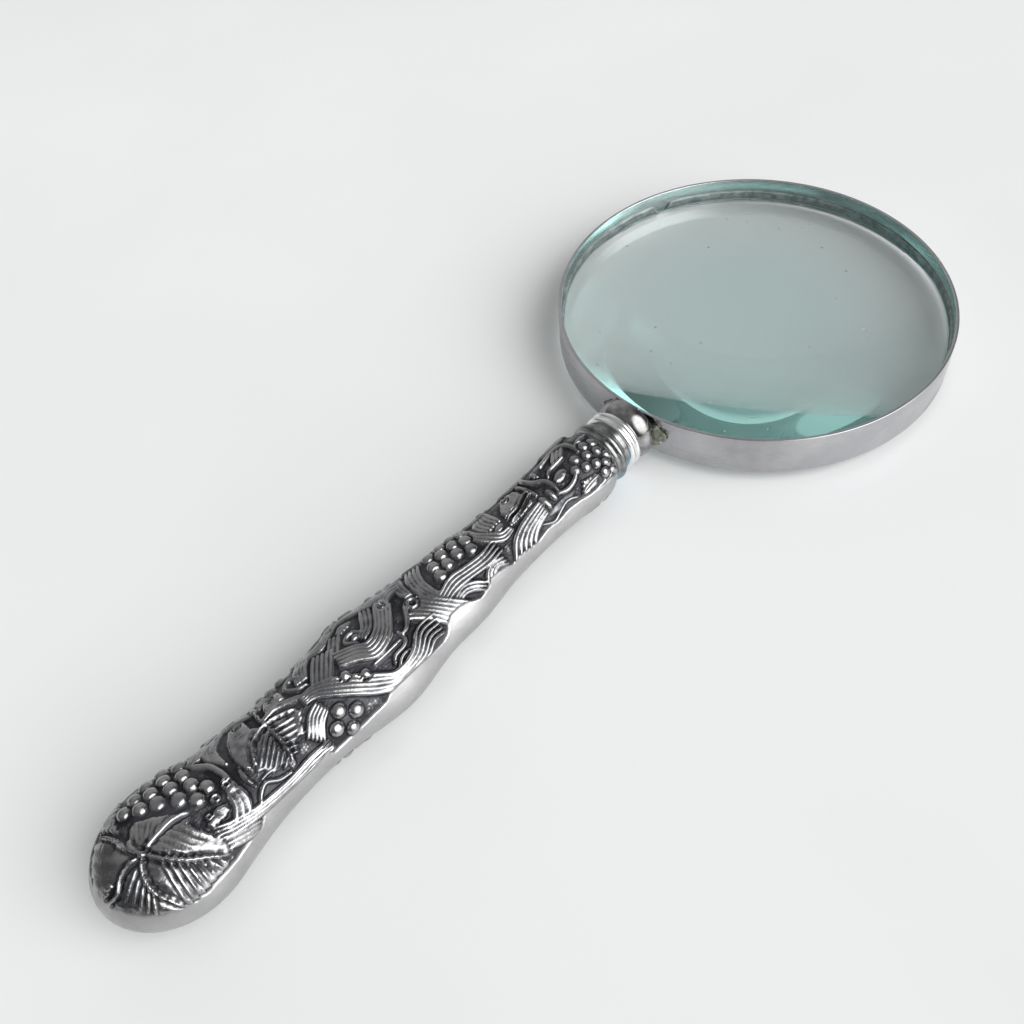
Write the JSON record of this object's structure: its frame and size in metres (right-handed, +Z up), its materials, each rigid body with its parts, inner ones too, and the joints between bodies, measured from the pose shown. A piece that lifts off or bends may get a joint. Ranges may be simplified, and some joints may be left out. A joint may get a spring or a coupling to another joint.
{
  "type": "hand lens",
  "caption": "Round biconvex reading glass in a plain metal band, on turned collars and a stamped silver handle with vine relief.",
  "frame": {"origin": "middle of the whole object's box, at its base: the lowest line of the handle as it lies on its back", "axes": "+X along the handle's axis towards the glass, +Y across, +Z up through the glass's face"},
  "size_m": [0.2534, 0.1, 0.0212],
  "materials": {
    "glass": "polished, faint green tint",
    "rim_silver": "satin plate with fine scratches",
    "inner_ring": "dull",
    "solder": "rough and greenish",
    "knop_silver": "polished, lightly tarnished",
    "bead_silver": "polished",
    "ferrule_silver": "polished, with a blue and purple tarnish",
    "handle_silver": "oxidised silver: bright high points, black recesses",
    "steel": "plain",
    "brass": "plain",
    "cement": "matt filler"
  },
  "bodies": {
    "root": {"lens": "glass", "rim_band": "rim_silver", "rim_saddle": "rim_silver", "saddle_solder": "solder", "seat_ring": "inner_ring", "retaining_ring": "inner_ring", "knop": "knop_silver", "bead_collar": "bead_silver", "ferrule": "ferrule_silver", "mouth_plate": "steel", "tang_rod": "steel", "tang_anchor": "brass", "handle_core": "cement", "handle_front_shell": "handle_silver", "handle_back_shell": "handle_silver"}
  },
  "joints": []
}
